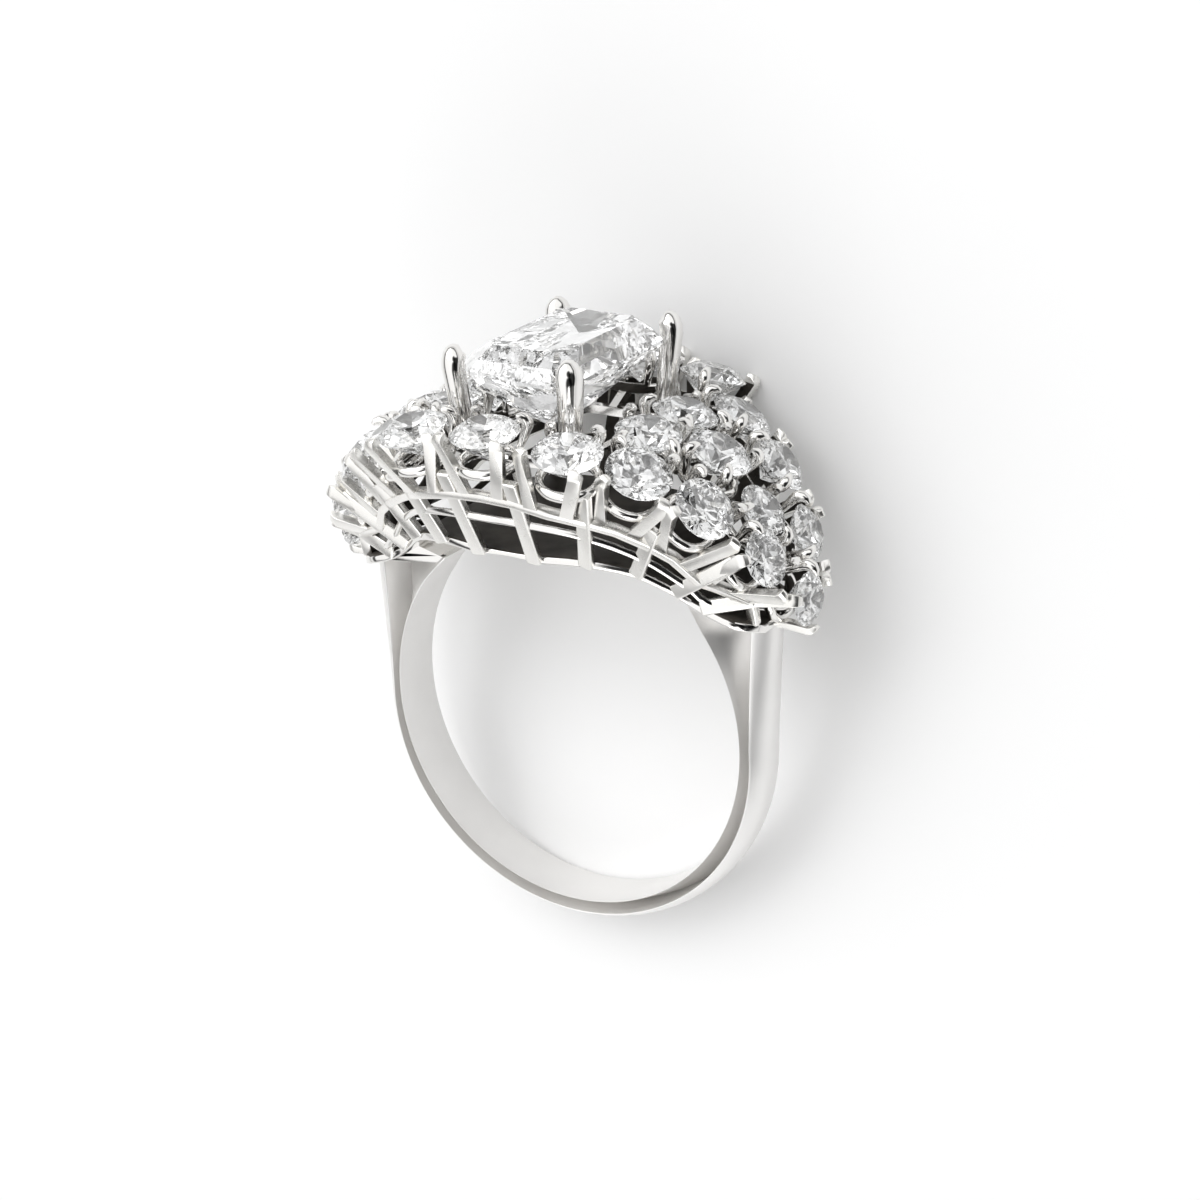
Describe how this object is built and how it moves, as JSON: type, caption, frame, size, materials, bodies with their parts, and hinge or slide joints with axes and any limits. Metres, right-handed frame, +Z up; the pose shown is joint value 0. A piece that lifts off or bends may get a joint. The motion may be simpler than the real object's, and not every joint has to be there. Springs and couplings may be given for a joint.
{
  "type": "cluster cocktail ring",
  "caption": "Lady's cocktail ring: a rectangular cut stone in claws above a saddle-shaped cluster of round brilliants on an open wire gallery, with a plain shank.",
  "frame": {"origin": "centre of the footprint of the ring as it lies on its side, on the surface it lies on", "axes": "+X across the hand, from one end of the cluster to the other; +Y from the bottom of the shank towards the centre stone; +Z up, away from the surface"},
  "size_m": [0.0236, 0.0267, 0.0148],
  "materials": {
    "white_metal": "polished",
    "clear_stone": "polished"
  },
  "bodies": {
    "root": {"mount": "white_metal", "centre_stone": "clear_stone", "rim_0_front": "clear_stone", "rim_0_back": "clear_stone", "rim_1_front_right": "clear_stone", "rim_1_front_left": "clear_stone", "rim_1_back_right": "clear_stone", "rim_1_back_left": "clear_stone", "rim_2_front_right": "clear_stone", "rim_2_front_left": "clear_stone", "rim_2_back_right": "clear_stone", "rim_2_back_left": "clear_stone", "rim_3_front_right": "clear_stone", "rim_3_front_left": "clear_stone", "rim_3_back_right": "clear_stone", "rim_3_back_left": "clear_stone", "rim_4_front_right": "clear_stone", "rim_4_front_left": "clear_stone", "rim_4_back_right": "clear_stone", "rim_4_back_left": "clear_stone", "rim_5_right": "clear_stone", "rim_5_left": "clear_stone", "dome_1_front_right": "clear_stone", "dome_1_front_left": "clear_stone", "dome_1_back_right": "clear_stone", "dome_1_back_left": "clear_stone", "dome_2_right": "clear_stone", "dome_2_left": "clear_stone", "dome_3_right": "clear_stone", "dome_3_left": "clear_stone"}
  },
  "joints": []
}
